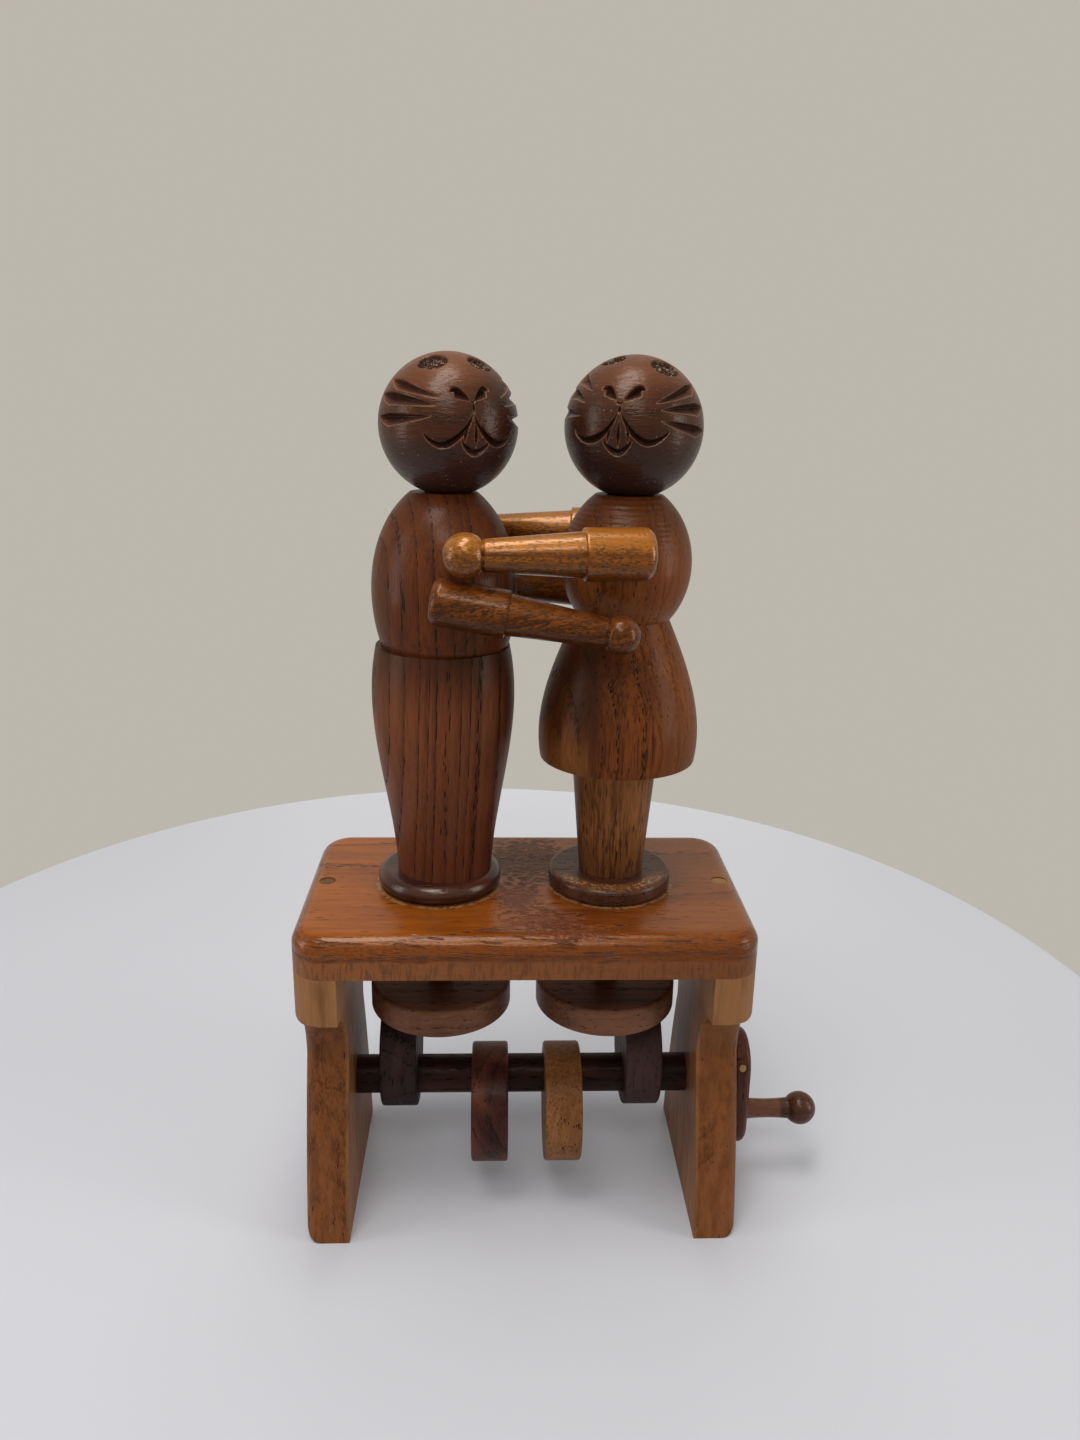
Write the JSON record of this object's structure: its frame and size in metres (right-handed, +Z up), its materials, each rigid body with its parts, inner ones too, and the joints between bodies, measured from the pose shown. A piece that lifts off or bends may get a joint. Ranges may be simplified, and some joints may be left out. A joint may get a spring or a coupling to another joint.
{
  "type": "wooden crank automaton",
  "caption": "Hand-cranked wooden automaton: two turned animal-faced figures, arm in arm on a small table, over a camshaft that lifts and turns them.",
  "frame": {"origin": "on the ground, under the middle of the object's overall box", "axes": "+Z up, +X towards the crank handle, -Y towards the viewer in front of the figures"},
  "size_m": [0.1362, 0.062, 0.2163],
  "materials": {
    "deck_wood": "satin lacquer over orange brown teak",
    "panel_wood": "satin lacquer over golden brown wood",
    "pale_dowel_wood": "plain pale dowel",
    "dark_shaft_wood": "dark stained dowel",
    "dark_cam_wood": "dark stained, unpolished",
    "red_cam_wood": "dark red brown, satin",
    "pale_cam_wood": "light golden brown, satin",
    "crank_wood": "dark red brown, satin lacquer",
    "follower_wood": "dark brown, satin",
    "foot_wood": "dark red brown, gloss lacquer",
    "body_wood": "red brown open-pored wood, satin lacquer",
    "skirt_wood": "brown open-pored wood, satin lacquer",
    "arm_wood": "golden orange wood, gloss lacquer",
    "head_wood": "dark red brown wood, satin lacquer"
  },
  "bodies": {
    "table": {"deck": "deck_wood", "left_side_panel": "panel_wood", "right_side_panel": "panel_wood", "deck_pegs": "pale_dowel_wood"},
    "camshaft": {"crank_shaft": "dark_shaft_wood", "left_outer_cam": "dark_cam_wood", "left_inner_cam": "red_cam_wood", "right_inner_cam": "pale_cam_wood", "right_outer_cam": "dark_cam_wood", "crank_arm": "crank_wood", "crank_pin": "pale_dowel_wood", "crank_handle": "crank_wood"},
    "left_lifter": {"left_spindle": "dark_shaft_wood"},
    "right_lifter": {"right_spindle": "dark_shaft_wood"},
    "left_figure": {"left_follower_disc": "follower_wood", "left_foot": "foot_wood", "left_trousers": "body_wood", "left_torso": "body_wood", "left_shoulder_peg": "pale_dowel_wood", "left_near_arm": "arm_wood", "left_far_arm": "arm_wood", "left_neck_peg": "pale_dowel_wood", "left_head": "head_wood"},
    "right_figure": {"right_follower_disc": "follower_wood", "right_foot": "foot_wood", "right_legs": "body_wood", "right_skirt": "skirt_wood", "right_torso": "body_wood", "right_shoulder_peg": "pale_dowel_wood", "right_near_arm": "arm_wood", "right_far_arm": "arm_wood", "right_neck_peg": "pale_dowel_wood", "right_head": "head_wood"}
  },
  "joints": [
    {"name": "crank_turn", "type": "hinge", "parent": "table", "child": "camshaft", "pos_m": [-0.01315, 0, 0.0315], "axis": [1, 0, 0], "continuous": true},
    {"name": "left_figure_lift", "type": "slide", "parent": "table", "child": "left_lifter", "axis": [0, 0, 1], "range_m": [0, 0.007]},
    {"name": "right_figure_lift", "type": "slide", "parent": "table", "child": "right_lifter", "axis": [0, 0, 1], "range_m": [0, 0.007]},
    {"name": "left_figure_turn", "type": "hinge", "parent": "left_lifter", "child": "left_figure", "pos_m": [-0.03465, 0, 0.0884], "axis": [0, 0, 1], "range_deg": [-5, 5]},
    {"name": "right_figure_turn", "type": "hinge", "parent": "right_lifter", "child": "right_figure", "pos_m": [0.00835, 0, 0.0884], "axis": [0, 0, 1], "range_deg": [-5, 5]}
  ],
  "couplings": [
    {"joint": "right_figure_lift", "follows": "left_figure_lift", "ratio": 1},
    {"joint": "right_figure_turn", "follows": "left_figure_turn", "ratio": -1}
  ]
}
